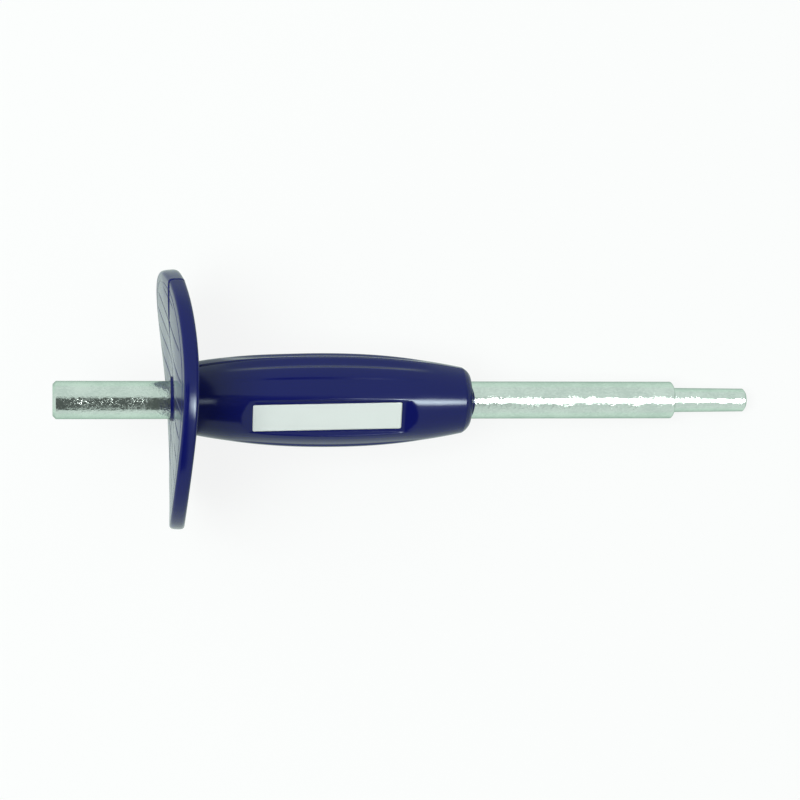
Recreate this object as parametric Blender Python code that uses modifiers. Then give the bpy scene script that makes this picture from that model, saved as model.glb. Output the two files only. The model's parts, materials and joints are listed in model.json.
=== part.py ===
"""Anchor setting tool: a plated steel setting punch in a moulded hand guard with a round shield and a paper label.

The tool is drawn upright, as it is used: its axis is local Z, the shoulder that bears on the anchor is at height 0,
the pin points down and the striking end is at the top. It is then laid down on the floor, on the shield's rim and
the tip of the pin, with the pin towards +X and the label facing up and a little towards -Y.
"""

import math

import bmesh
import bpy
from mathutils import Matrix, Vector

MM = 0.001

# Driving dimensions of the punch bar
BAR_DIAMETER = 12.0 * MM
BUTT_EXPOSED = 36.2 * MM
BUTT_CHAMFER = 1.0 * MM
FRONT_EXPOSED = 67.5 * MM
SHOULDER_BREAK = 0.4 * MM
PIN_LENGTH = 25.0 * MM
PIN_ROOT_DIAMETER = 7.9 * MM
PIN_TIP_DIAMETER = 7.5 * MM
TIP_CHAMFER_LENGTH = 0.7 * MM
TIP_CHAMFER_DEPTH = 0.9 * MM

# Driving dimensions of the hand guard
BORE_CLEARANCE = 0.3 * MM
GRIP_LENGTH = 91.3 * MM
GRIP_CROWN_FROM_MOUTH = 46.5 * MM
GRIP_CROWN_DIAMETER = 29.7 * MM
GRIP_ROOT_DIAMETER = 21.0 * MM
GRIP_MOUTH_DIAMETER = 19.9 * MM
GRIP_FULLNESS = 2.15
MOUTH_ROUND = 2.4 * MM
ROOT_FILLET = 1.5 * MM
SHIELD_DIAMETER = 81.4 * MM
SHIELD_THICKNESS = 5.0 * MM
SHIELD_EDGE_ROUND = 1.0 * MM

# The shield has warped in use: a saddle, plus a lean of its rim towards the striking end
SADDLE_RISE = 1.8 * MM
SADDLE_ANGLE = math.radians(22.0)
LEAN_RISE = 1.25 * MM

# Label and the flat-floored pocket that it is stuck in, with sloping sides and ends
LABEL_ANGLE = math.radians(-25.0)
POCKET_DEPTH = 2.5 * MM
POCKET_WIDTH = 10.6 * MM
POCKET_LENGTH = 54.6 * MM
POCKET_SIDE_SLOPE = math.radians(48.0)
POCKET_END_SLOPE = math.radians(14.0)
LABEL_LENGTH = 47.0 * MM
LABEL_WIDTH = 9.0 * MM
LABEL_THICKNESS = 0.2 * MM
LABEL_SEAT_GAP = 0.3 * MM
LABEL_OFF_CENTRE = 0.9 * MM
LABEL_SKEW = math.radians(1.2)

# Fineness of the turned shapes
SEGMENTS = 48
HALF_STEP = math.pi / SEGMENTS
ARC_STEPS = 4
BARREL_STEPS = 16
SHIELD_RINGS = 4
MERGE_DISTANCE = 0.00001
SHARP_ANGLE = math.radians(30.0)

# Radii and heights that follow from the driving dimensions
BAR_RADIUS = BAR_DIAMETER / 2
BORE_RADIUS = BAR_RADIUS + BORE_CLEARANCE
CROWN_RADIUS = GRIP_CROWN_DIAMETER / 2
ROOT_RADIUS = GRIP_ROOT_DIAMETER / 2
MOUTH_RADIUS = GRIP_MOUTH_DIAMETER / 2
SHIELD_RADIUS = SHIELD_DIAMETER / 2
SHOULDER_HEIGHT = 0.0
TIP_HEIGHT = SHOULDER_HEIGHT - PIN_LENGTH
MOUTH_HEIGHT = SHOULDER_HEIGHT + FRONT_EXPOSED
CROWN_HEIGHT = MOUTH_HEIGHT + GRIP_CROWN_FROM_MOUTH
SHIELD_FRONT = MOUTH_HEIGHT + GRIP_LENGTH
SHIELD_BACK = SHIELD_FRONT + SHIELD_THICKNESS
STRIKING_END = SHIELD_BACK + BUTT_EXPOSED
POCKET_FLOOR = CROWN_RADIUS - POCKET_DEPTH
CUT_HEIGHT = POCKET_DEPTH * 1.2


def clear_scene():
    """Remove every object of the open file."""
    for old in list(bpy.data.objects):
        bpy.data.objects.remove(old, do_unlink=True)


def new_collection(name):
    """A collection of that name in the scene."""
    collection = bpy.data.collections.new(name)
    bpy.context.scene.collection.children.link(collection)
    return collection


def plain_material(name, colour, roughness, metallic):
    """A Principled material of one colour."""
    material = bpy.data.materials.new(name)
    material.use_nodes = True
    shader = material.node_tree.nodes["Principled BSDF"]
    shader.inputs["Base Color"].default_value = (*colour, 1.0)
    shader.inputs["Roughness"].default_value = roughness
    shader.inputs["Metallic"].default_value = metallic
    return material


def add_object(name, mesh, collection, parent, material=None):
    """A mesh object under the tool's empty, smooth where its faces meet gently."""
    if material:
        mesh.materials.append(material)
    mesh.shade_smooth()
    mesh.set_sharp_from_angle(angle=SHARP_ANGLE)
    piece = bpy.data.objects.new(name, mesh)
    piece.parent = parent
    collection.objects.link(piece)
    return piece


def arc(centre_radius, centre_height, radius, start, end):
    """Points of a circular arc in the profile's plane, angles measured from the outward direction."""
    points = []
    for step in range(ARC_STEPS + 1):
        angle = start + (end - start) * step / ARC_STEPS
        points.append((centre_radius + radius * math.cos(angle), centre_height + radius * math.sin(angle)))
    return points


def turned_mesh(name, profile, closed):
    """Turn a profile of (radius, height) points about Z. A flat side, not a corner, faces each axis."""
    outline = bpy.data.meshes.new(name + "_profile")
    points = [(r * math.cos(HALF_STEP), r * math.sin(HALF_STEP), h) for r, h in profile]
    edges = [(i, i + 1) for i in range(len(points) - 1)]
    if closed:
        edges.append((len(points) - 1, 0))
    outline.from_pydata(points, edges, [])
    blank = bpy.data.objects.new(name + "_blank", outline)
    bpy.context.scene.collection.objects.link(blank)
    screw = blank.modifiers.new("Turn", "SCREW")
    screw.axis = "Z"
    screw.angle = 2 * math.pi
    screw.steps = SEGMENTS
    screw.render_steps = SEGMENTS
    screw.use_merge_vertices = True
    screw.merge_threshold = MERGE_DISTANCE
    depsgraph = bpy.context.evaluated_depsgraph_get()
    mesh = bpy.data.meshes.new_from_object(blank.evaluated_get(depsgraph))
    mesh.name = name
    bpy.data.objects.remove(blank, do_unlink=True)
    return mesh


def bar_profile():
    """The bar's outer side from the middle of the striking face down to the middle of the pin's tip."""
    pin_root = PIN_ROOT_DIAMETER / 2
    pin_tip = PIN_TIP_DIAMETER / 2
    return [
        (0.0, STRIKING_END),
        (BAR_RADIUS - BUTT_CHAMFER, STRIKING_END),
        (BAR_RADIUS, STRIKING_END - BUTT_CHAMFER),
        (BAR_RADIUS, SHOULDER_HEIGHT + SHOULDER_BREAK),
        (BAR_RADIUS - SHOULDER_BREAK, SHOULDER_HEIGHT),
        (pin_root, SHOULDER_HEIGHT),
        (pin_tip, TIP_HEIGHT + TIP_CHAMFER_LENGTH),
        (pin_tip - TIP_CHAMFER_DEPTH, TIP_HEIGHT),
        (0.0, TIP_HEIGHT),
    ]


def barrel_radius(height):
    """Radius of the grip's barrel: it falls by a power of the distance from the crown, on each side of it."""
    if height > CROWN_HEIGHT:
        share = (height - CROWN_HEIGHT) / (SHIELD_FRONT - CROWN_HEIGHT)
        return CROWN_RADIUS - (CROWN_RADIUS - ROOT_RADIUS) * share**GRIP_FULLNESS
    share = (CROWN_HEIGHT - height) / (CROWN_HEIGHT - MOUTH_HEIGHT)
    return CROWN_RADIUS - (CROWN_RADIUS - MOUTH_RADIUS) * share**GRIP_FULLNESS


def guard_profile():
    """The guard's section: out over the shield's back, round its rim, in to the grip, down it and up the bore."""
    edge_radius = SHIELD_RADIUS - SHIELD_EDGE_ROUND
    quarter = math.pi / 2
    fillet_height = SHIELD_FRONT - ROOT_FILLET
    fillet_radius = barrel_radius(fillet_height) + ROOT_FILLET
    barrel_end = MOUTH_HEIGHT + MOUTH_ROUND
    round_radius = barrel_radius(barrel_end) - MOUTH_ROUND
    back_rings = []
    front_rings = []
    for ring in range(SHIELD_RINGS):
        share = ring / SHIELD_RINGS
        back_rings.append((BORE_RADIUS + (edge_radius - BORE_RADIUS) * share, SHIELD_BACK))
        front_rings.append((edge_radius + (fillet_radius - edge_radius) * share, SHIELD_FRONT))
    barrel = []
    for step in range(1, BARREL_STEPS):
        height = fillet_height + (barrel_end - fillet_height) * step / BARREL_STEPS
        barrel.append((barrel_radius(height), height))
    return [
        *back_rings,
        *arc(edge_radius, SHIELD_BACK - SHIELD_EDGE_ROUND, SHIELD_EDGE_ROUND, quarter, 0.0),
        *arc(edge_radius, SHIELD_FRONT + SHIELD_EDGE_ROUND, SHIELD_EDGE_ROUND, 0.0, -quarter),
        *front_rings[1:],
        *arc(fillet_radius, fillet_height, ROOT_FILLET, quarter, 2 * quarter),
        *barrel,
        *arc(round_radius, barrel_end, MOUTH_ROUND, 0.0, -quarter),
        (BORE_RADIUS, MOUTH_HEIGHT),
    ]


def shield_offset(radius, angle):
    """How far the warped shield lies towards the pin: nothing at the grip, a saddle and a lean at the rim."""
    share = max(0.0, (radius - ROOT_RADIUS) / (SHIELD_RADIUS - ROOT_RADIUS))
    saddle = SADDLE_RISE * share**2 * math.cos(2 * (angle - SADDLE_ANGLE))
    return saddle - LEAN_RISE * share * math.sin(angle)


def warp_shield(mesh):
    """Move the shield's points along the axis by the warp."""
    shell = bmesh.new()
    shell.from_mesh(mesh)
    for point in shell.verts:
        if point.co.z > SHIELD_FRONT - ROOT_FILLET:
            radius = math.hypot(point.co.x, point.co.y)
            angle = math.atan2(point.co.y, point.co.x)
            point.co.z -= shield_offset(radius, angle)
    shell.to_mesh(mesh)
    shell.free()


def box_mesh(name, low, high):
    """A box between two corners."""
    mesh = bpy.data.meshes.new(name)
    box = bmesh.new()
    bmesh.ops.create_cube(box, size=1.0)
    size = Vector(high) - Vector(low)
    middle = (Vector(high) + Vector(low)) / 2
    bmesh.ops.transform(box, matrix=Matrix.Translation(middle) @ Matrix.Diagonal((*size, 1.0)), verts=box.verts)
    box.to_mesh(mesh)
    box.free()
    return mesh


def pocket_mesh(name):
    """The hollow of the pocket: its floor, and sides that flare out until they are clear of the grip's crown."""
    half_width = POCKET_WIDTH / 2
    half_length = POCKET_LENGTH / 2
    top = POCKET_FLOOR + CUT_HEIGHT
    mesh = box_mesh(name, (POCKET_FLOOR, -half_width, -half_length), (top, half_width, half_length))
    for corner in mesh.vertices:
        height = corner.co.x - POCKET_FLOOR
        corner.co.y += math.copysign(height / math.tan(POCKET_SIDE_SLOPE), corner.co.y)
        corner.co.z += math.copysign(height / math.tan(POCKET_END_SLOPE), corner.co.z)
    return mesh


def add_punch_bar(collection, tool):
    """The turned bar: striking end, shank, shoulder and setting pin."""
    zinc = plain_material("bright_zinc_plate", (0.58, 0.62, 0.59), 0.28, 1.0)
    return add_object("punch_bar", turned_mesh("punch_bar", bar_profile(), False), collection, tool, zinc)


def add_hand_guard(collection, cutters, tool):
    """The moulded guard: shield and barrel grip in one, with a flat pocket on the two sides of its mould."""
    navy = plain_material("navy_plastic", (0.016, 0.018, 0.13), 0.18, 0.0)
    mesh = turned_mesh("hand_guard", guard_profile(), True)
    warp_shield(mesh)
    guard = add_object("hand_guard", mesh, collection, tool, navy)
    for side, angle in (("label", LABEL_ANGLE), ("far", LABEL_ANGLE + math.pi)):
        cutter = add_object(side + "_pocket_cutter", pocket_mesh(side + "_pocket"), cutters, tool)
        cutter.location.z = CROWN_HEIGHT
        cutter.rotation_euler.z = angle
        cutter.hide_render = True
        cutter.display_type = "WIRE"
        cut = guard.modifiers.new(side + " pocket", "BOOLEAN")
        cut.operation = "DIFFERENCE"
        cut.solver = "EXACT"
        cut.object = cutter
    return guard


def add_label(collection, tool):
    """The paper label on the pocket's floor, stuck on a little askew."""
    paper = plain_material("label_paper", (0.78, 0.80, 0.78), 0.6, 0.0)
    half = Vector((LABEL_THICKNESS, LABEL_WIDTH, LABEL_LENGTH)) / 2
    label = add_object("label", box_mesh("label", -half, half), collection, tool, paper)
    seat = POCKET_FLOOR + LABEL_SEAT_GAP + LABEL_THICKNESS / 2
    turn = Matrix.Rotation(LABEL_ANGLE, 4, "Z")
    place = Matrix.Translation((seat, 0.0, CROWN_HEIGHT + LABEL_OFF_CENTRE))
    label.matrix_local = turn @ place @ Matrix.Rotation(LABEL_SKEW, 4, "X")
    return label


def lay_down(tool, pieces):
    """Tip the tool until the shield's rim and the pin's tip are level, then stand it on the floor about the origin."""
    rim_height = SHIELD_FRONT + SHIELD_EDGE_ROUND - shield_offset(SHIELD_RADIUS, math.pi)
    tip_height = TIP_HEIGHT + TIP_CHAMFER_LENGTH
    tilt = math.atan2(SHIELD_RADIUS - PIN_TIP_DIAMETER / 2, rim_height - tip_height)
    tool.rotation_euler.y = tilt - math.pi / 2
    bpy.context.view_layer.update()
    depsgraph = bpy.context.evaluated_depsgraph_get()
    points = []
    for piece in pieces:
        solid = piece.evaluated_get(depsgraph)
        points += [solid.matrix_world @ corner.co for corner in solid.data.vertices]
    low = Vector(min(p[i] for p in points) for i in range(3))
    high = Vector(max(p[i] for p in points) for i in range(3))
    tool.location = (-(low.x + high.x) / 2, -(low.y + high.y) / 2, -low.z)


def main():
    clear_scene()
    parts = new_collection("anchor_setting_tool")
    cutters = new_collection("cutters")
    tool = bpy.data.objects.new("tool_axis", None)
    parts.objects.link(tool)
    bar = add_punch_bar(parts, tool)
    guard = add_hand_guard(parts, cutters, tool)
    label = add_label(parts, tool)
    lay_down(tool, (bar, guard, label))
    bpy.context.view_layer.update()


main()
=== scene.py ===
"""Looks of the anchor setting tool: a zinc-plated punch in a glossy navy hand guard with a bare label.

The tool's own coordinates are x up from its axis, y across it and h along it, from the shoulder towards the
striking end. A turn is an angle about the axis, measured from the direction that the label faces.
"""

import json
import math

import bpy
import numpy as np
from mathutils import Matrix, Vector


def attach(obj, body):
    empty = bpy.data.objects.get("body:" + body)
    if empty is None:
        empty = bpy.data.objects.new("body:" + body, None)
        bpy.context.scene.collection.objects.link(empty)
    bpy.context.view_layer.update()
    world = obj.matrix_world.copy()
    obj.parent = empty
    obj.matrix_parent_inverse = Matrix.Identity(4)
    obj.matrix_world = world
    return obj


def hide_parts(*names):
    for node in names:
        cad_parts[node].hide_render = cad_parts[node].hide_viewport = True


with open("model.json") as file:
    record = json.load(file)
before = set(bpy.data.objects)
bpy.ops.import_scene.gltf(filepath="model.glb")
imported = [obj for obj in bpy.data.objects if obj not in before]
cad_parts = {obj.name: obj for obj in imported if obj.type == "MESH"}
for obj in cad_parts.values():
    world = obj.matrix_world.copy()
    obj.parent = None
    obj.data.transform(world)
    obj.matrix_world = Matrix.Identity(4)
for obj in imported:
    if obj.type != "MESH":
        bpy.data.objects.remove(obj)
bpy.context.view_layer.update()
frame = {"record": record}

MM = 0.001
QUARTER = math.pi / 2
ROUNDING = 1e-6
WELD_DISTANCE = 1e-4 * MM

# The tool's axis, read from the faces at its two ends
MOUNTS = {mount["name"]: np.array(mount["pos_m"]) for mount in frame["record"]["mounts"]}
TIP = MOUNTS["pin_tip_face"]
STRIKING = MOUNTS["striking_face"]
TOOL_LENGTH = np.linalg.norm(STRIKING - TIP)
ALONG = (STRIKING - TIP) / TOOL_LENGTH
ACROSS = np.array([0.0, 1.0, 0.0])
ABOVE = np.cross(ACROSS, ALONG)
TILT = math.atan2(ALONG[2], -ALONG[0])

# Punch bar
PIN_LENGTH = 25.0 * MM
SHOULDER = TIP + PIN_LENGTH * ALONG
STRIKING_END = TOOL_LENGTH - PIN_LENGTH
BAR_RADIUS = 6.0 * MM
BUTT_CHAMFER = 1.0 * MM
SHOULDER_BREAK = 0.4 * MM
PIN_ROOT_RADIUS = 3.95 * MM
PIN_ROOT_FILLET = 0.3 * MM
PIN_TIP_RADIUS = 3.75 * MM
TIP_CHAMFER_LENGTH = 0.7 * MM
TIP_CHAMFER_DEPTH = 0.9 * MM
EDGE_SOFTNESS = 0.18 * MM
BAR_COLUMNS = 192
BAR_ROW_STEP = 1.5 * MM

# Grip of the guard, with points of its mouth as radius and height
BORE_RADIUS = 6.3 * MM
BORE_CHAMFER = 0.2 * MM
BORE_ROWS = 26
MOUTH = 67.1 * MM
CROWN = 114.0 * MM
SHIELD_FRONT = 158.8 * MM
CROWN_RADIUS = 14.85 * MM
ROOT_RADIUS = 10.5 * MM
MOUTH_RADIUS = 9.95 * MM
FULLNESS = 2.15
ROOT_FILLET = 1.5 * MM
ROOT_FILLET_POINTS = 8
BARREL_TOP = SHIELD_FRONT - ROOT_FILLET
BARREL_END = MOUTH + 3.0 * MM
BARREL_ROW_STEP = 1.5 * MM
MOUTH_SHOULDER = (9.7 * MM, MOUTH + 1.75 * MM)
MOUTH_EDGE = (8.5 * MM, MOUTH + 0.78 * MM)
MOUTH_FACE = MOUTH + 0.45 * MM
MOUTH_SOFTNESS = 0.6 * MM

# A tongue of thin plastic at the mouth, over the bar
TONGUE_RADIUS = 7.0 * MM
TONGUE_TAPER = 0.05 * MM
TONGUE_END = MOUTH_FACE - 0.75 * MM
TONGUE_ANGLE = math.radians(-7.5)
TONGUE_HALF_WIDTH = math.radians(42.0)

# The moulding's far half is fuller than the near one towards the shield
FAR_FULLNESS = 1.1 * MM
FAR_START = 8.0 * MM
FAR_END = 44.0 * MM
FAR_CLOSE = 40.0 * MM
FAR_CLOSED_SHARE = 0.8
FAR_SEAM_SHARE = 0.5
FAR_FULL_ANGLE = math.radians(18.0)
FAR_FADE_ANGLE = math.radians(35.0)
FAR_GONE_ANGLE = math.radians(75.0)

# Shield of the guard, its rim, collar and dish
SHIELD_BACK = 163.8 * MM
SHIELD_MIDDLE = (SHIELD_BACK + SHIELD_FRONT) / 2
SHIELD_RADIUS = 40.7 * MM
RIM_REACH = 1.6 * MM
RIM_POWER = 3.2
RIM_POINTS = 27
RIM_FOLLOW = 0.85
SHIELD_EDGE = SHIELD_RADIUS - RIM_REACH
FRONT_ROWS = 11
BORDER_RADIUS = 37.2 * MM
BORDER_FALL = 0.12 * MM
BORDER_LINE_DEPTH = 0.2 * MM
BACK_RADIUS = 36.7 * MM
BACK_STEPS = np.array([
    0, 0.1, 0.2, 0.32, 0.5, 0.8, 1.4, 2.5, 4.5, 7, 10, 13, 16, 19, 22, 25, 28, 31, 34, 99,
]) * MM
HOLE_RADIUS = 7.3 * MM
COLLAR_RADIUS = 6.7 * MM
COLLAR_TOP = SHIELD_BACK + 0.7 * MM
COLLAR_ROUND = 0.15 * MM
LUMP_REACH = 1.2 * MM
LUMP_WIDTH = 3.0 * MM
LUMP_FADE = 1.0 * MM
DISH_DEPTH = 0.9 * MM
DISH_RADIUS = 28.0 * MM

# Warp of the shield
SADDLE_RISE = 2.0 * MM
SADDLE_ANGLE = math.radians(22.0)
LEAN_RISE = 1.25 * MM
BULGE_RISE = 0.45 * MM
BULGE_ANGLE = math.radians(4.0)
BULGE_WIDTH = math.radians(28.0)

# Pocket on each side of the grip, and the label in the upper one
POCKET_FLOOR = 12.35 * MM
POCKET_HALF_WIDTH = 5.3 * MM
POCKET_HALF_LENGTH = 24.4 * MM
POCKET_SIDE_SLOPE = math.radians(48.0)
POCKET_END_SLOPE = math.radians(17.0)
POCKET_ROW_STEP = 2.0 * MM
RAMP_START = POCKET_HALF_LENGTH - 2.4 * MM
RAMP_END = POCKET_HALF_LENGTH + 8.0 * MM
RAMP_ROW_STEP = 0.8 * MM
LIP_ROUND = 0.5 * MM
FLOOR_ROUND = 0.35 * MM
LABEL_ANGLE = math.radians(-25.0)
LABEL_HALF_LENGTH = 23.5 * MM
LABEL_HALF_WIDTH = 4.5 * MM
LABEL_SEAT = 0.06 * MM
LABEL_THICKNESS = 0.22 * MM
LABEL_CORNER = 0.45 * MM
LABEL_OFF_CENTRE = 0.9 * MM
LABEL_SKEW = math.radians(1.2)
LABEL_ROWS = 97
LABEL_COLUMNS = 25

# Raised rib on each side of the pocket: one wall faces the pocket, the other falls away from it
RIB_DIP_START = math.radians(24.0)
RIB_TURNS = np.radians([49.8, 56.0, 66.5, 75.5, 89.0])
RIB_VALLEY = 0.35 * MM
RIB_RISES = np.array([0.5, 0.75]) * MM
RIB_REACHES = np.array([31.0, 34.0]) * MM
RIB_END_POWER = 4
RIB_WALL_COLUMNS = 9

# The mould's parting line, and the far half's step and shift there
RIDGE_RISE = 0.3 * MM
RIDGE_WIDTH = 6.0 * MM
SEAM_DEPTH = 0.25 * MM
SEAM_WIDTH = 0.2 * MM
BACK_SEAM_DEPTH = 0.5 * MM
BACK_SEAM_WIDTH = 0.35 * MM
BACK_SEAM_START = 1.0 * MM
MOULD_STEP = 0.06 * MM
MOULD_SHIFT = 0.4 * MM
SHIFT_SEAM_SHARE = 0.45
SHIFT_REACH = 12.0 * MM
FAR_BACK_RISE = 0.15 * MM
FAR_BACK_TILT = 0.55 * MM
FAR_BACK_START = 16.0 * MM
FAR_BACK_END = 36.0 * MM

# Roof and grooves of the shield's back
ROOF_FALL = 0.35 * MM
GROOVE_PITCH = 7.67 * MM
GROOVE_COUNT = 5
GROOVE_DEPTH = 0.45 * MM
GROOVE_WIDTH = 0.17 * MM
GROOVE_END = BORDER_RADIUS - 1.0 * MM
GROOVE_RUN_OUT = BORDER_RADIUS - 4.0 * MM

# Columns of the guard in one quarter turn, in degrees
EVEN_COLUMNS = np.arange(0.0, 90.0, 4.0)
LIP_COLUMNS = np.arange(17.0, 28.5, 0.9)
SEAM_COLUMNS = 90.0 - np.array([0.1, 0.22, 0.4, 0.7, 1.1, 1.7, 2.6, 4.0])
HOLE_COLUMNS = np.arange(10.0, 90.0, 10.0)

# Columns beside a groove and rows beside the border line, in widths of a groove
GROOVE_COLUMNS = np.array([-2.6, -1.4, -0.7, 0.0, 0.7, 1.4, 2.6])
BORDER_ROWS = np.array([-2.0, -1.2, -0.6, 0.0, 0.6, 1.2, 2.0])
BORDER_OUTER_START = 4
BORDER_OUTER_ROWS = 3

# Decimals that the columns' angles are rounded to, and the gap that this leaves, in radians
COLUMN_DIGITS = 3
COLUMN_GAP = 0.001

# Parts of the guard's section
INNER, BACK, RIM, FRONT, GRIP = range(5)

# Camera, from the photograph's 800 pixel frame
FRAME_PIXELS = 800
FOCAL_PIXELS = 2100
PIXELS_PER_METRE = 3117
SENSOR = 36.0
AXIS_LEAN = math.radians(9.5)
AIM_HEIGHT = 90.0 * MM

# Lamps
LAMP_DISTANCE = 1.3
KEY_LEVEL = 9.5
KEY_LEAN = math.radians(-17.0)
KEY_SIZE = 0.65
SOFTBOX_LEVEL = 30.0
SOFTBOX_LEAN = math.radians(36.5)
SOFTBOX_TURN = math.radians(-7.5)
SOFTBOX_WIDTH = 0.5
SOFTBOX_LENGTH = 0.92
SOFTBOX_WIDTH_FADE = 0.5
SOFTBOX_LENGTH_FADE = 0.41

# Surroundings
SURROUNDINGS_COLOUR = (0.93, 1.0, 0.965, 1)
SURROUNDINGS_LEVEL = 0.85

# Dark patch of the surroundings: angles from overhead, east towards the pin, from its edge to full dark
PATCH_LEVEL = 0.125
PATCH_EAST = (math.radians(25.0), math.radians(21.0))
PATCH_WEST = (math.radians(-55.0), math.radians(-35.0))
PATCH_NORTH = (math.radians(16.0), math.radians(13.0))
PATCH_SOUTH = (math.radians(-67.0), math.radians(-61.0))

# Dim end of the surroundings, by the share of a direction that points towards the pin
DIM_LEVEL = 0.35
DIM_END = (0.74, 0.84)

# Floor: the shares of its own glow in a straight view and in a mirrored one
FLOOR_HALF_SIZE = 4.0
FLOOR_COLOUR = (0.66, 0.74, 0.7, 1)
FLOOR_SEEN = 0.86
FLOOR_MIRRORED = 0.82
FLOOR_WHITE = (1, 1, 1, 1)
FLOOR_MIRRORED_COLOUR = (0.78, 0.9, 0.82, 1)


def in_place(x, y, h):
    """World points of the tool's own coordinates: the shoulder's middle plus x above, y across, h along."""
    return SHOULDER + x[..., None] * ABOVE + y[..., None] * ACROSS + h[..., None] * ALONG


def smooth_min(first, second, reach):
    """The lesser of two heights, with the corner between them rounded over the given reach."""
    share = np.clip(0.5 + 0.5 * (second - first) / reach, 0.0, 1.0)
    return second + (first - second) * share - reach * share * (1 - share)


def smooth_max(first, second, reach):
    """The greater of two heights, with the corner between them rounded over the given reach."""
    return -smooth_min(-first, -second, reach)


def bell(distance, width):
    """A bell curve: 1 on the line, falling off with the square of the distance over the width."""
    return np.exp(-((distance / width) ** 2))


def fade(value, start, end):
    """0 at start and 1 at end, with a smooth step between them."""
    share = np.clip((value - start) / (end - start), 0.0, 1.0)
    return share * share * (3 - 2 * share)


def wrapped(angle):
    """The same angle within half a turn on either side of zero."""
    return (angle + math.pi) % (2 * math.pi) - math.pi


def from_pocket(turn):
    """Angle from the middle of the nearer pocket, from 0 to a quarter turn."""
    return np.abs((turn + QUARTER) % math.pi - QUARTER)


def quads(rows, columns, wrap_rows, wrap_columns):
    """Corner numbers of a grid's four-sided faces. Its last row or column joins its first where it wraps."""
    row = np.arange(rows if wrap_rows else rows - 1)[:, None]
    column = np.arange(columns if wrap_columns else columns - 1)[None, :]
    here = row * columns
    below = (row + 1) % rows * columns
    beside = (column + 1) % columns
    corners = (here + column, below + column, below + beside, here + beside)
    return np.stack(np.broadcast_arrays(*corners), axis=-1).reshape(-1, 4)


def welded(points, faces):
    """Join points that coincide. Faces that collapse lose a corner, or go."""
    keys = np.round(points / WELD_DISTANCE).astype(np.int64)
    _, first, number = np.unique(keys, axis=0, return_index=True, return_inverse=True)
    faces = number.reshape(-1)[faces]
    repeats = faces == np.roll(faces, -1, axis=1)
    full = faces[repeats.sum(axis=1) == 0]
    short = repeats.sum(axis=1) == 1
    corners = np.argsort(repeats[short], axis=1, kind="stable")[:, :3]
    three = np.take_along_axis(faces[short], np.sort(corners, axis=1), axis=1)
    return points[first], full.tolist() + three.tolist()


def add_piece(name, points, faces, body, node, material):
    """A mesh piece in place of a solid of the frame, riding on its body."""
    points, faces = welded(points, faces)
    mesh = bpy.data.meshes.new(name)
    mesh.from_pydata(points, [], faces)
    mesh.validate()
    mesh.shade_smooth()
    mesh.materials.append(material)
    piece = bpy.data.objects.new(name, mesh)
    bpy.context.scene.collection.objects.link(piece)
    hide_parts(node)
    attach(piece, body)


class Wire:
    """A socket of a shader tree. Sums, differences and products of wires add Math nodes to the tree."""

    def __init__(self, tree, socket=None):
        self.tree = tree
        self.socket = socket

    def node(self, kind, settings=None, sockets=None, output=0):
        """Add a node: its settings first, then its sockets' values or wires. Gives one output as a wire."""
        made = self.tree.nodes.new(kind)
        for name, value in (settings or {}).items():
            setattr(made, name, value)
        for key, value in (sockets or {}).items():
            if isinstance(value, Wire):
                self.tree.links.new(value.socket, made.inputs[key])
            else:
                made.inputs[key].default_value = value
        return Wire(self.tree, made.outputs[output])

    def math(self, operation, first, second=0.0):
        """A Math node on two values or wires."""
        return self.node("ShaderNodeMath", {"operation": operation}, {0: first, 1: second})

    def __add__(self, other):
        return self.math("ADD", self, other)

    def __radd__(self, other):
        return self.math("ADD", other, self)

    def __sub__(self, other):
        return self.math("SUBTRACT", self, other)

    def __rsub__(self, other):
        return self.math("SUBTRACT", other, self)

    def __mul__(self, other):
        return self.math("MULTIPLY", self, other)

    def __rmul__(self, other):
        return self.math("MULTIPLY", other, self)

    def part(self, letter):
        """One part, X, Y or Z, of a vector."""
        return self.node("ShaderNodeSeparateXYZ", None, {0: self}, output=letter)

    def stretched(self, x, y, z):
        """A vector with its parts multiplied by x, y and z."""
        return self.node("ShaderNodeVectorMath", {"operation": "MULTIPLY"}, {0: self, 1: (x, y, z)})

    def noise(self, scale, detail, roughness=0.5):
        """Noise at the places that this wire holds, from 0 to 1."""
        sockets = {"Vector": self, "Scale": scale, "Detail": detail, "Roughness": roughness}
        return self.node("ShaderNodeTexNoise", None, sockets)

    def step(self, start, end):
        """0 at start and 1 at end, with a smooth step between them."""
        sockets = {"Value": self, "From Min": start, "From Max": end}
        return self.node("ShaderNodeMapRange", {"interpolation_type": "SMOOTHSTEP"}, sockets)

    def mix(self, first, second):
        """A colour between two colours, by this wire's value."""
        return self.node("ShaderNodeMix", {"data_type": "RGBA"}, {0: self, 6: first, 7: second}, output=2)

    def bump(self, distance):
        """The normal of a surface that this wire's value raises by up to the distance."""
        return self.node("ShaderNodeBump", None, {"Height": self, "Strength": 1.0, "Distance": distance})

    def feed(self, socket):
        """Link this wire to a socket of a node."""
        self.tree.links.new(self.socket, socket)


def new_material(name):
    """A Principled material: the material, its shader, and the tool's own coordinates in metres, h third."""
    material = bpy.data.materials.new(name)
    material.use_nodes = True
    tree = material.node_tree
    lean = Matrix((ABOVE, ACROSS, ALONG)).to_euler()
    start = Wire(tree).node("ShaderNodeTexCoord", output="Object")
    sockets = {"Vector": start, "Rotation": tuple(lean)}
    place = start.node("ShaderNodeMapping", {"vector_type": "POINT"}, sockets)
    return material, tree.nodes["Principled BSDF"], place


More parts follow.
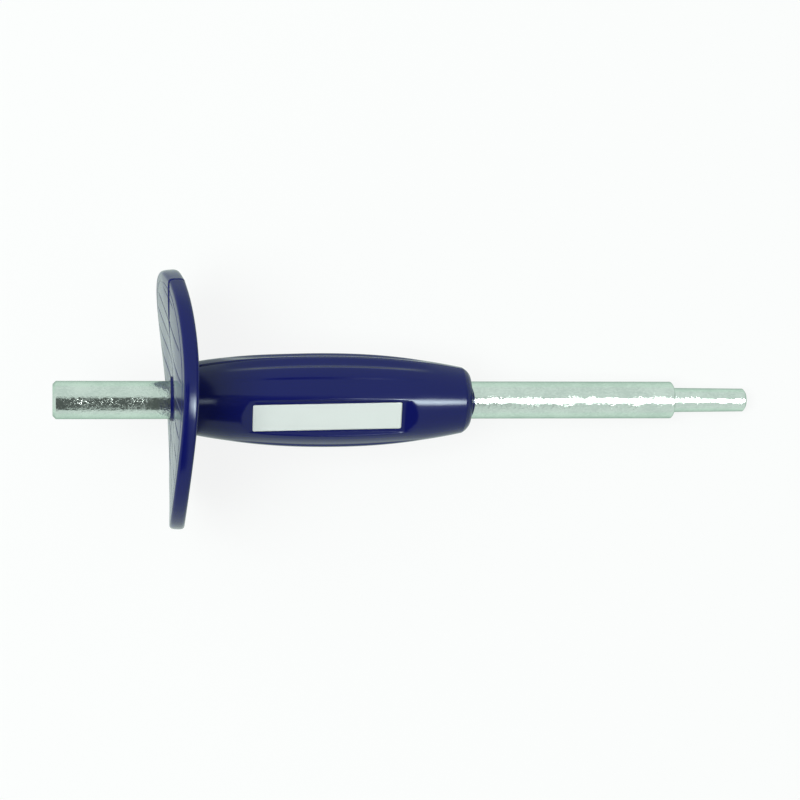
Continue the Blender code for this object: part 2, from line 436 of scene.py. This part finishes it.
def zinc_plate():
    """Bright zinc plating on a drawn bar: a cool pale metal with fine pits and short scuffs along it."""
    dull = (0.6, 0.7, 0.645, 1)
    bright = (0.71, 0.81, 0.75, 1)
    pit_depth = 0.026 * MM
    material, shader, place = new_material("zinc_plate")
    grain = place.stretched(1.0, 1.0, 0.6).noise(scale=1500.0, detail=3.0, roughness=0.65)
    cloud = place.noise(scale=160.0, detail=3.0)
    colour = (0.5 * cloud + 0.5 * grain).step(0.36, 0.64).mix(dull, bright)
    colour.feed(shader.inputs["Base Color"])
    roughness = 0.06 + 0.07 * cloud
    roughness.feed(shader.inputs["Roughness"])
    shader.inputs["Metallic"].default_value = 1.0
    shader.inputs["Specular Tint"].default_value = (0.5, 0.56, 0.53, 1)
    pits = grain.step(0.42, 0.72) * (0.5 + cloud.step(0.35, 0.7))
    pits.bump(pit_depth).feed(shader.inputs["Normal"])
    return material


def navy_plastic():
    """Glossy moulded plastic in deep navy, with a faint cloudiness and fine rubbed marks in its gloss."""
    deep = (0.0018, 0.0034, 0.082, 1)
    pale = (0.0024, 0.0042, 0.093, 1)
    swell_height = 0.015 * MM
    material, shader, place = new_material("navy_plastic")
    colour = place.noise(scale=60.0, detail=3.0).mix(deep, pale)
    colour.feed(shader.inputs["Base Color"])
    roughness = 0.12 + 0.1 * place.noise(scale=400.0, detail=5.0, roughness=0.7)
    roughness.feed(shader.inputs["Roughness"])
    shader.inputs["Specular IOR Level"].default_value = 0.32
    shader.inputs["Specular Tint"].default_value = (0.84, 0.99, 1.0, 1)
    swell = place.noise(scale=260.0, detail=2.0)
    swell.bump(swell_height).feed(shader.inputs["Normal"])
    return material


def label_paper():
    """Matt white paper with a faint fibre and a slightly soiled cast."""
    soiled = (0.62, 0.675, 0.65, 1)
    clean = (0.68, 0.735, 0.71, 1)
    material, shader, place = new_material("label_paper")
    fibre = place.noise(scale=2500.0, detail=3.0, roughness=0.6)
    soil = place.noise(scale=150.0, detail=3.0)
    colour = (fibre * 0.5 + soil * 0.5).mix(soiled, clean)
    colour.feed(shader.inputs["Base Color"])
    shader.inputs["Roughness"].default_value = 0.55
    return material


def corner_arc(radius, height, reach, start, end, count):
    """Points of an arc in a section: a centre's radius and height plus its reach at evenly spaced angles."""
    angle = np.linspace(start, end, count)
    return np.stack([radius + reach * np.cos(angle), height + reach * np.sin(angle)], axis=-1)


def flat_ring(radii, height):
    """Points of a flat ring in a section: the given radii, all at one height."""
    return np.stack([radii, np.full_like(radii, height)], axis=-1)


def softened(outline, reach, steps=6):
    """An outline of (radius, height) points with each inner corner replaced by a short curve: a parabola
    whose ends lie on the two sides, at the reach from the corner or a third of a side if that is less."""
    points = np.array(outline)
    sides = np.diff(points, axis=0)
    lengths = np.linalg.norm(sides, axis=1)
    trims = np.minimum(reach, lengths / 3)
    trims = np.minimum(trims[:-1], trims[1:])[:, None]
    before = points[1:-1] - sides[:-1] / lengths[:-1, None] * trims
    after = points[1:-1] + sides[1:] / lengths[1:, None] * trims
    share = np.linspace(0.0, 1.0, steps)[None, :, None]
    entering = (1 - share) ** 2 * before[:, None]
    turning = 2 * share * (1 - share) * points[1:-1, None]
    leaving = share**2 * after[:, None]
    return np.concatenate([points[:1], (entering + turning + leaving).reshape(-1, 2), points[-1:]])


def refined(outline, step):
    """An outline with points added along its long sides, so that none is longer than the step."""
    lengths = np.linalg.norm(np.diff(outline, axis=0), axis=1)
    place = np.concatenate([[0.0], np.cumsum(lengths)])
    counts = np.maximum(1, np.ceil(lengths / step)).astype(int)
    number = np.arange(counts.sum()) - np.repeat(np.cumsum(counts) - counts, counts)
    share = number / np.repeat(counts, counts)
    wanted = np.repeat(place[:-1], counts) + share * np.repeat(lengths, counts)
    wanted = np.append(wanted, place[-1])
    radius = np.interp(wanted, place, outline[:, 0])
    height = np.interp(wanted, place, outline[:, 1])
    return np.stack([radius, height], axis=-1)


def add_punch_bar():
    """The bar: a profile of radius over height turned about the tool's axis, with a point at each end."""
    corners = [
        (0.0, STRIKING_END),
        (BAR_RADIUS - BUTT_CHAMFER, STRIKING_END),
        (BAR_RADIUS, STRIKING_END - BUTT_CHAMFER),
        (BAR_RADIUS, SHOULDER_BREAK),
        (BAR_RADIUS - SHOULDER_BREAK, 0.0),
        (PIN_ROOT_RADIUS + PIN_ROOT_FILLET, 0.0),
        (PIN_ROOT_RADIUS, -PIN_ROOT_FILLET),
        (PIN_TIP_RADIUS, TIP_CHAMFER_LENGTH - PIN_LENGTH),
        (PIN_TIP_RADIUS - TIP_CHAMFER_DEPTH, -PIN_LENGTH),
        (0.0, -PIN_LENGTH),
    ]
    profile = refined(softened(corners, EDGE_SOFTNESS), BAR_ROW_STEP)
    turn = np.linspace(0.0, 2 * math.pi, BAR_COLUMNS, endpoint=False)[None, :]
    radius = profile[:, :1]
    height = np.broadcast_to(profile[:, 1:], (len(profile), BAR_COLUMNS))
    points = in_place(radius * np.cos(turn), radius * np.sin(turn), height).reshape(-1, 3)
    faces = quads(len(profile), BAR_COLUMNS, False, True)
    add_piece("setting_punch", points, faces, "punch", "punch_bar", zinc_plate())


def barrel_radius(h):
    """Radius of the barrel: the crown's, less a power of the share of the way from it to either end."""
    back = np.clip((h - CROWN) / (SHIELD_FRONT - CROWN), 0.0, None)
    front = np.clip((CROWN - h) / (CROWN - MOUTH), 0.0, None)
    root_fall = (CROWN_RADIUS - ROOT_RADIUS) * back**FULLNESS
    mouth_fall = (CROWN_RADIUS - MOUTH_RADIUS) * front**FULLNESS
    return CROWN_RADIUS - (root_fall + mouth_fall)


def pocket_radius(h, turn):
    """Radius at which a ray from the axis enters the pocket: the furthest of its floor, its sides and its end
    ramps, each a plane. Rays that never enter get a radius clear of the grip."""
    least_cosine = 0.1
    least_reach = 0.05
    side = from_pocket(turn)
    past_floor = np.clip(np.abs(h - CROWN) - POCKET_HALF_LENGTH, 0.0, None)
    floor = (POCKET_FLOOR + past_floor * math.tan(POCKET_END_SLOPE)) / np.maximum(np.cos(side), least_cosine)
    flare = 1 / math.tan(POCKET_SIDE_SLOPE)
    reach = flare * np.cos(side) - np.sin(side)
    wall = (flare * POCKET_FLOOR - POCKET_HALF_WIDTH) / np.maximum(reach, least_reach)
    return smooth_max(floor, wall, FLOOR_ROUND)


def rib_height(h, turn):
    """Height of the rib: down a little from the pocket's lip, up by its first wall, down by its second, and
    back to the barrel at the parting line. Each part is a smooth step around the grip, times a fall to
    nothing with a power of the way to the rib's end."""
    first, second = [np.clip(1 - ((h - CROWN) / reach) ** RIB_END_POWER, 0.0, None) for reach in RIB_REACHES]
    valley = RIB_VALLEY * first
    first = RIB_RISES[0] * first
    second = RIB_RISES[1] * second
    side = from_pocket(turn)
    dip = fade(side, RIB_DIP_START, RIB_TURNS[0])
    up = fade(side, RIB_TURNS[0], RIB_TURNS[1])
    down = fade(side, RIB_TURNS[2], RIB_TURNS[3])
    back = fade(side, RIB_TURNS[3], RIB_TURNS[4])
    return first * up - valley * dip - second * down + (second - first + valley) * back


def far_half(turn):
    """True on the half of the moulding that faces away from the label."""
    return np.cos(turn) < -ROUNDING


def far_fullness(h, turn):
    """How much further out the far half lies: it grows towards the shield and nearly closes at the shield's
    root. Around the grip it starts at the parting line, is full a little further on and is gone at the far
    pocket."""
    way = h - CROWN
    closing = FAR_CLOSED_SHARE * fade(way, FAR_CLOSE, SHIELD_FRONT - CROWN)
    along = fade(way, FAR_START, FAR_END) * (1 - closing)
    past = QUARTER - from_pocket(turn)
    start = FAR_SEAM_SHARE + (1 - FAR_SEAM_SHARE) * fade(past, 0.0, FAR_FULL_ANGLE)
    around = start * fade(past, FAR_GONE_ANGLE, FAR_FADE_ANGLE)
    return FAR_FULLNESS * along * around * far_half(turn)


def far_opening(from_seam, turn):
    """Share of its step and shift that the far half of the shield shows: a part at the parting line, growing
    to the whole with a smooth step."""
    share = SHIFT_SEAM_SHARE + (1 - SHIFT_SEAM_SHARE) * fade(from_seam, 0.0, SHIFT_REACH)
    return far_half(turn) * share


def seam_offset(distance, turn):
    """Height of the parting line: a low ridge that falls away on both sides, a thin groove along its top, and
    a small step between the mould's two halves."""
    ridge = RIDGE_RISE * np.clip(1 - distance / RIDGE_WIDTH, 0.0, None) ** 2
    return ridge - SEAM_DEPTH * bell(distance, SEAM_WIDTH) - MOULD_STEP * far_half(turn)


def shield_warp(radius, turn):
    """How far the warped shield lies towards the pin: a saddle and a bulge over the grip, both growing with
    the square of the way out to the rim, and a lean growing with that way."""
    angle = turn + LABEL_ANGLE
    share = np.clip((radius - ROOT_RADIUS) / (SHIELD_RADIUS - ROOT_RADIUS), 0.0, None)
    saddle = SADDLE_RISE * np.cos(2 * (angle - SADDLE_ANGLE))
    bulge = BULGE_RISE * bell(wrapped(angle - BULGE_ANGLE), BULGE_WIDTH)
    return share**2 * (saddle + bulge) - LEAN_RISE * share * np.sin(angle)


def guard_turns():
    """Angles of the guard's columns: even steps, and closer ones at the pocket's lips, the ribs, the parting
    line, the edge of the back's hole and each groove of the back. One quarter is worked out and mirrored to
    all four."""
    grooves = (np.arange(GROOVE_COUNT) + 0.5)[:, None] * GROOVE_PITCH + GROOVE_WIDTH * GROOVE_COLUMNS
    hole = math.asin(HOLE_RADIUS / BACK_RADIUS)
    quarter = np.concatenate([
        np.radians(EVEN_COLUMNS),
        np.radians(LIP_COLUMNS),
        np.linspace(RIB_TURNS[0], RIB_TURNS[1], RIB_WALL_COLUMNS),
        np.linspace(RIB_TURNS[2], RIB_TURNS[3], RIB_WALL_COLUMNS),
        np.radians(SEAM_COLUMNS),
        np.arcsin(grooves.ravel() / BACK_RADIUS),
        np.arcsin(np.sin(np.radians(HOLE_COLUMNS)) * HOLE_RADIUS / BACK_RADIUS),
    ])
    quarter = np.unique(np.round(quarter, COLUMN_DIGITS))
    quarter = quarter[(quarter > 0) & (quarter < QUARTER - COLUMN_GAP)]
    quarter = quarter[np.abs(quarter - hole) > 2 * COLUMN_GAP]
    quarter = np.sort(np.append(quarter, hole))
    half = np.concatenate([-quarter[::-1], [0.0], quarter, [QUARTER]])
    return np.concatenate([half, half + math.pi])


def hole_turns(turn):
    """Angles at which the back's straight columns meet its hole, or the parting line where they miss it."""
    across = np.arcsin(np.clip(BACK_RADIUS * np.sin(turn) / HOLE_RADIUS, -1.0, 1.0))
    return np.where(turn > QUARTER + ROUNDING, math.pi - across, across)


def inner_outline():
    """Rows of radius and height up the bore and over the collar to the shield's back."""
    bore_top = COLLAR_TOP - BORE_CHAMFER - COLLAR_ROUND
    heights = np.linspace(MOUTH_FACE + BORE_CHAMFER, bore_top, BORE_ROWS)
    bore = np.stack([np.full_like(heights, BORE_RADIUS), heights], axis=-1)
    collar = softened([
        (BORE_RADIUS, bore_top),
        (BORE_RADIUS, COLLAR_TOP - BORE_CHAMFER),
        (BORE_RADIUS + BORE_CHAMFER, COLLAR_TOP),
        (COLLAR_RADIUS, COLLAR_TOP),
        (COLLAR_RADIUS, SHIELD_BACK),
        (HOLE_RADIUS, SHIELD_BACK),
    ], COLLAR_ROUND, steps=4)
    return np.concatenate([bore, collar[1:-1]])


def back_rows(turn):
    """Radii and angles of the shield's back. Its columns are straight and run beside the grooves, so each
    keeps its distance along the parting line. Its rows step outwards from the parting line, or from the hole,
    to a circle."""
    along = BACK_RADIUS * np.sin(turn)
    inside = np.sqrt(np.clip(HOLE_RADIUS**2 - along**2, 0.0, None))
    length = np.clip(BACK_RADIUS * np.abs(np.cos(turn)) - inside, 0.0, None)
    shares = np.linspace(0.0, 1.0, len(BACK_STEPS))
    across = inside + np.minimum(BACK_STEPS[:, None], length * shares[:, None])
    across = np.where(far_half(turn), -across, across)
    return np.hypot(along, across), np.arctan2(np.broadcast_to(along, across.shape), across)


def border_outline():
    """Rows of radius and height of the shield's border: close at its line, and even out to the rim."""
    line = BORDER_RADIUS + GROOVE_WIDTH * BORDER_ROWS
    outside = np.linspace(BORDER_RADIUS + BORDER_OUTER_START * GROOVE_WIDTH, SHIELD_EDGE, BORDER_OUTER_ROWS)
    return flat_ring(np.concatenate([line, outside]), SHIELD_BACK)


def rim_outline():
    """Rows of radius and height of the rim, a half of a rounded rectangle: reach times cosine and half the
    thickness times sine, each raised to two over the power, from the back to the front."""
    angle = np.linspace(QUARTER, -QUARTER, RIM_POINTS)[1:-1]
    out = np.abs(np.cos(angle)) ** (2 / RIM_POWER)
    up = np.sign(angle) * np.abs(np.sin(angle)) ** (2 / RIM_POWER)
    height = SHIELD_MIDDLE + (SHIELD_BACK - SHIELD_FRONT) / 2 * up
    return np.stack([SHIELD_EDGE + RIM_REACH * out, height], axis=-1)


def front_outline():
    """Rows of radius and height of the shield's front, evenly from the rim to the fillet at the grip."""
    fillet = barrel_radius(BARREL_TOP) + ROOT_FILLET
    return flat_ring(np.linspace(SHIELD_EDGE, fillet, FRONT_ROWS)[:-1], SHIELD_FRONT)


def grip_outline():
    """Rows of radius and height round the fillet, down the barrel, closer on the pocket's ramps, and round
    the mouth and the end of its tongue."""
    fillet = barrel_radius(BARREL_TOP) + ROOT_FILLET
    mouth_start = BARREL_END + MOUTH_SOFTNESS
    heights = CROWN + np.concatenate([
        np.arange(BARREL_TOP - CROWN, RAMP_END, -BARREL_ROW_STEP),
        np.arange(RAMP_END, RAMP_START, -RAMP_ROW_STEP),
        np.arange(RAMP_START, -RAMP_START, -POCKET_ROW_STEP),
        np.arange(-RAMP_START, -RAMP_END, -RAMP_ROW_STEP),
        np.arange(-RAMP_END, mouth_start - CROWN, -BARREL_ROW_STEP),
    ])[1:]
    mouth = softened([
        (barrel_radius(mouth_start), mouth_start),
        (barrel_radius(BARREL_END), BARREL_END),
        MOUTH_SHOULDER,
        MOUTH_EDGE,
        (TONGUE_RADIUS, MOUTH_FACE),
        (TONGUE_RADIUS - TONGUE_TAPER, TONGUE_END),
        (BORE_RADIUS + BORE_CHAMFER, TONGUE_END),
    ], MOUTH_SOFTNESS)
    return np.concatenate([
        corner_arc(fillet, BARREL_TOP, ROOT_FILLET, QUARTER, 2 * QUARTER, ROOT_FILLET_POINTS),
        np.stack([barrel_radius(heights), heights], axis=-1),
        mouth,
    ])


def guard_section(turn):
    """The guard's section as rows of radius, height, angle and part: up the bore, over the collar, out over
    the back, round the rim, in over the front, down the grip, and round the mouth to the bore again. In the
    bore the columns turn evenly from their own angles to those at which the back's columns meet its hole."""
    inner = inner_outline()
    border = border_outline()
    rim = rim_outline()
    front = front_outline()
    grip = grip_outline()
    outer = np.concatenate([border, rim, front, grip])
    back_radius, back_turn = back_rows(turn)
    turned = np.minimum(np.arange(len(inner)) / (BORE_ROWS - 1), 1.0)[:, None]
    inner_turn = turn + turned * (hole_turns(turn) - turn)
    wide = np.ones_like(turn)[None, :]
    flat = np.full_like(back_radius, SHIELD_BACK)
    radius = np.concatenate([inner[:, :1] * wide, back_radius, outer[:, :1] * wide])
    height = np.concatenate([inner[:, 1:] * wide, flat, outer[:, 1:] * wide])
    angle = np.concatenate([inner_turn, back_turn, np.broadcast_to(turn, (len(outer), len(turn)))])
    counts = [len(inner), len(back_radius) + len(border), len(rim), len(front), len(grip) - 1, 1]
    part = np.repeat([INNER, BACK, RIM, FRONT, GRIP, INNER], counts)
    return radius, height, angle, part[:, None]


def guard_radius(radius, height, turn, part):
    """Radii of the guard's points. The grip's are the lesser of the ribbed barrel and the pocket, plus the
    parting line and the far half's fullness. The rim's follow the parting line and the slope of the warp,
    the collar has a lump at the parting line, and the shield's far half is shifted along that line."""
    from_seam = np.abs(np.cos(turn)) * radius
    seam = seam_offset(from_seam, turn)
    grip = smooth_min(radius + rib_height(height, turn), pocket_radius(height, turn), LIP_ROUND)
    grip = grip + seam + far_fullness(height, turn)
    slope = (shield_warp(SHIELD_RADIUS, turn) - shield_warp(SHIELD_RADIUS - MM, turn)) / MM
    rim = radius + seam + RIM_FOLLOW * slope * (height - SHIELD_MIDDLE)
    lump = LUMP_REACH * bell(from_seam, LUMP_WIDTH) * (np.sin(turn) > 0)
    lump = lump * fade(height, SHIELD_BACK - LUMP_FADE, SHIELD_BACK)
    lump = lump * fade(radius, BORE_RADIUS, COLLAR_RADIUS)
    shift = MOULD_SHIFT * np.sin(turn) * far_opening(from_seam, turn) * (radius / SHIELD_RADIUS) ** 2
    shaped = np.select([part == GRIP, part == RIM, part == INNER], [grip, rim, radius + lump], radius)
    return shaped + np.where((part == BACK) | (part == RIM) | (part == FRONT), shift, 0.0)


def guard_height(radius, height, turn, part):
    """Heights of the guard's points: the section's, less the grooves, the parting line and the border line
    of the back, its fall past the border, its roof and dish, and the shield's warp, plus the far half's step.
    At the mouth the rows past its face reach on only at the tongue, by a parabola around the bar."""
    along_seam = np.abs(np.sin(turn)) * radius
    from_seam = np.abs(np.cos(turn)) * radius
    nearest = np.abs(((along_seam / GROOVE_PITCH) % 1.0) - 0.5) * GROOVE_PITCH
    groove = GROOVE_DEPTH * bell(nearest, GROOVE_WIDTH) * fade(radius, GROOVE_END, GROOVE_RUN_OUT)
    seam_line = BACK_SEAM_DEPTH * bell(from_seam, BACK_SEAM_WIDTH)
    groove = groove + seam_line * fade(radius, COLLAR_RADIUS, COLLAR_RADIUS + BACK_SEAM_START)
    groove = groove + BORDER_LINE_DEPTH * bell(radius - BORDER_RADIUS, GROOVE_WIDTH)
    border = BORDER_FALL * np.clip((radius - BORDER_RADIUS) / (SHIELD_RADIUS - BORDER_RADIUS), 0.0, 1.0)
    roof = ROOF_FALL * from_seam / SHIELD_RADIUS
    step = (FAR_BACK_RISE + FAR_BACK_TILT * np.sin(turn)) * far_opening(from_seam, turn)
    step = step * fade(radius, FAR_BACK_START, FAR_BACK_END)
    dish = DISH_DEPTH * fade(radius, DISH_RADIUS, COLLAR_RADIUS)
    behind = np.clip((height - SHIELD_MIDDLE) / (SHIELD_BACK - SHIELD_MIDDLE), 0.0, 1.0)
    lowered = height - np.where(part == BACK, groove, 0.0)
    lowered = lowered - np.where((part <= BACK) & (height > SHIELD_FRONT), dish, 0.0)
    lowered = lowered - np.where((part == BACK) | (part == RIM), (border + roof - step) * behind, 0.0)
    lowered = lowered - np.where(height > BARREL_TOP, shield_warp(radius, turn), 0.0)
    from_tongue = wrapped(turn + LABEL_ANGLE - TONGUE_ANGLE)
    tongue = np.clip(1 - (from_tongue / TONGUE_HALF_WIDTH) ** 2, 0.0, None)
    return np.where(height < MOUTH_FACE, MOUTH_FACE - (MOUTH_FACE - height) * tongue, lowered)


def add_hand_guard():
    """The guard: its section turned about the axis, with the radius and the height of each point moved.
    Between the collar and the back, faces of columns that miss the hole have no width and are left out."""
    columns = guard_turns()
    radius, height, turn, part = guard_section(columns)
    reach = guard_radius(radius, height, turn, part)
    angle = turn + LABEL_ANGLE
    h = guard_height(radius, height, turn, part)
    points = in_place(reach * np.cos(angle), reach * np.sin(angle), h).reshape(-1, 3)
    faces = quads(*radius.shape, True, True)
    misses = np.abs(np.sin(columns)) * BACK_RADIUS > HOLE_RADIUS - ROUNDING * MM
    last_inner = np.argmax(part == BACK) - 1
    slivers = (np.arange(len(part)) == last_inner)[:, None] & misses & np.roll(misses, -1)
    faces = faces[~slivers.ravel()]
    add_piece("moulded_guard", points, faces, "guard", "hand_guard", navy_plastic())


def add_label():
    """The label: a rectangle with rounded corners, on a grid whose outer points are pulled in to the corner
    circles, with a lower and an upper face."""
    shape = (LABEL_ROWS, LABEL_COLUMNS)
    wide = np.broadcast_to(np.linspace(-1.0, 1.0, LABEL_COLUMNS)[None, :] * LABEL_HALF_WIDTH, shape)
    long = np.broadcast_to(np.linspace(-1.0, 1.0, LABEL_ROWS)[:, None] * LABEL_HALF_LENGTH, shape)
    past_wide = np.clip(np.abs(wide) - LABEL_HALF_WIDTH + LABEL_CORNER, 0.0, None)
    past_long = np.clip(np.abs(long) - LABEL_HALF_LENGTH + LABEL_CORNER, 0.0, None)
    past = np.hypot(past_wide, past_long)
    pull = np.where(past > LABEL_CORNER, LABEL_CORNER / np.maximum(past, ROUNDING * MM), 1.0)
    wide = wide - np.sign(wide) * past_wide * (1 - pull)
    long = long - np.sign(long) * past_long * (1 - pull)
    turned_wide = wide * math.cos(LABEL_SKEW) - long * math.sin(LABEL_SKEW)
    turned_long = wide * math.sin(LABEL_SKEW) + long * math.cos(LABEL_SKEW) + LABEL_OFF_CENTRE
    low = np.full_like(wide, POCKET_FLOOR + LABEL_SEAT)
    sheets = []
    for level in (low, low + LABEL_THICKNESS):
        x = level * math.cos(LABEL_ANGLE) - turned_wide * math.sin(LABEL_ANGLE)
        y = level * math.sin(LABEL_ANGLE) + turned_wide * math.cos(LABEL_ANGLE)
        sheets.append(in_place(x, y, CROWN + turned_long).reshape(-1, 3))
    number = np.arange(wide.size).reshape(shape)
    ring = np.concatenate([number[0], number[1:, -1], number[-1, -2::-1], number[-2:0:-1, 0]])
    following = np.roll(ring, -1)
    sheet = quads(*shape, False, False)
    border = np.stack([ring, following, following + wide.size, ring + wide.size], axis=-1)
    faces = np.concatenate([sheet, sheet[:, ::-1] + wide.size, border])
    points = np.concatenate(sheets)
    add_piece("paper_label", points, faces, "guard", "label", label_paper())


def pale_floor():
    """A matt floor, covered for the most part by its own glow: white in a straight view, and a dimmer,
    faintly green white in the mirror of a glossy surface."""
    material = bpy.data.materials.new("pale_floor")
    material.use_nodes = True
    tree = material.node_tree
    tree.nodes.remove(tree.nodes["Principled BSDF"])
    wire = Wire(tree)
    direct = wire.node("ShaderNodeLightPath", output="Is Camera Ray")
    mirrored = wire.node("ShaderNodeLightPath", output="Is Glossy Ray")
    through = wire.node("ShaderNodeLightPath", output="Is Transmission Ray")
    seen = FLOOR_SEEN * direct + FLOOR_MIRRORED * mirrored + FLOOR_SEEN * through
    matt = wire.node("ShaderNodeBsdfDiffuse", None, {"Color": FLOOR_COLOUR})
    white = direct.mix(FLOOR_MIRRORED_COLOUR, FLOOR_WHITE)
    glow = wire.node("ShaderNodeEmission", None, {"Color": white, "Strength": 1.0})
    both = wire.node("ShaderNodeMixShader", None, {0: seen, 1: matt, 2: glow})
    both.feed(tree.nodes["Material Output"].inputs["Surface"])
    return material


def add_floor():
    """A wide flat floor under the tool."""
    side = np.array([-FLOOR_HALF_SIZE, FLOOR_HALF_SIZE])
    x, y = np.meshgrid(side, side)
    points = np.stack([x, y, np.zeros_like(x)], axis=-1).reshape(-1, 3)
    mesh = bpy.data.meshes.new("floor")
    mesh.from_pydata(points, [], [(0, 1, 3, 2)])
    mesh.materials.append(pale_floor())
    floor = bpy.data.objects.new("floor", mesh)
    bpy.context.scene.collection.objects.link(floor)


def add_surroundings():
    """Soft pale surroundings with a dark patch overhead, where the camera is, and a dim end past the pin."""
    world = bpy.data.worlds.new("studio")
    bpy.context.scene.world = world
    world.use_nodes = True
    tree = world.node_tree
    direction = Wire(tree).node("ShaderNodeTexCoord", output="Generated")
    up = direction.part("Z")
    east = direction.math("ARCTAN2", direction.part("X"), up)
    north = direction.math("ARCTAN2", direction.part("Y"), up)
    patch = east.step(*PATCH_EAST) * east.step(*PATCH_WEST)
    patch = patch * north.step(*PATCH_NORTH) * north.step(*PATCH_SOUTH)
    dim = direction.part("X").step(*DIM_END)
    level = SURROUNDINGS_LEVEL - (SURROUNDINGS_LEVEL - PATCH_LEVEL) * patch
    level = level - (SURROUNDINGS_LEVEL - DIM_LEVEL) * dim
    background = tree.nodes["Background"]
    level.feed(background.inputs["Strength"])
    background.inputs["Color"].default_value = SURROUNDINGS_COLOUR


def add_lamp(name, lean, turn, width, length, level):
    """A rectangular lamp aimed at the tool, leaning from overhead towards the pin and turned across it."""
    up = math.cos(lean)
    direction = Vector((math.sin(lean), up * math.tan(turn), up)).normalized()
    light = bpy.data.lights.new(name, "AREA")
    light.shape = "RECTANGLE"
    light.size = width
    light.size_y = length
    light.energy = math.pi * width * length * level
    lamp = bpy.data.objects.new(name, light)
    lamp.location = direction * LAMP_DISTANCE
    lamp.rotation_euler = direction.to_track_quat("Z", "Y").to_euler()
    bpy.context.scene.collection.objects.link(lamp)
    return lamp


def add_softbox():
    """A softbox high on the pin's side, brightest in its middle, for the long highlights on the grip and the
    shank. It is seen only in gloss."""
    lamp = add_lamp("softbox", SOFTBOX_LEAN, SOFTBOX_TURN, SOFTBOX_WIDTH, SOFTBOX_LENGTH, SOFTBOX_LEVEL)
    lamp.visible_diffuse = False
    lamp.data.use_nodes = True
    tree = lamp.data.node_tree
    place = Wire(tree).node("ShaderNodeNewGeometry", output="Parametric")
    across = place.part("X")
    along = place.part("Y")
    level = across.step(0.0, SOFTBOX_WIDTH_FADE) * across.step(1.0, 1 - SOFTBOX_WIDTH_FADE)
    level = level * along.step(0.0, SOFTBOX_LENGTH_FADE) * along.step(1.0, 1 - SOFTBOX_LENGTH_FADE)
    level.feed(tree.nodes["Emission"].inputs["Strength"])


def add_key_lamp():
    """A broad lamp overhead, a little behind the shield, so that the shield shades the grip next to it. It
    isn't seen in gloss."""
    lamp = add_lamp("key_lamp", KEY_LEAN, 0.0, KEY_SIZE, KEY_SIZE, KEY_LEVEL)
    lamp.visible_glossy = False


def add_camera():
    """The camera at the photograph's angle: square to the tool across its axis, and leaning along it."""
    lean = AXIS_LEAN - TILT
    looking = Vector((math.sin(lean), 0.0, -math.cos(lean)))
    right = Vector((math.cos(lean), 0.0, math.sin(lean)))
    up = Vector(ACROSS)
    aim = Vector(SHOULDER + AIM_HEIGHT * ALONG)
    data = bpy.data.cameras.new("camera")
    data.sensor_width = SENSOR
    data.lens = SENSOR * FOCAL_PIXELS / FRAME_PIXELS
    camera = bpy.data.objects.new("camera", data)
    place = Matrix((right, up, -looking)).transposed().to_4x4()
    place.translation = aim - looking * (FOCAL_PIXELS / PIXELS_PER_METRE)
    camera.matrix_world = place
    bpy.context.scene.collection.objects.link(camera)
    bpy.context.scene.camera = camera


add_punch_bar()
add_hand_guard()
add_label()
add_floor()
add_surroundings()
add_softbox()
add_key_lamp()
add_camera()
bpy.context.scene.view_settings.view_transform = "Standard"
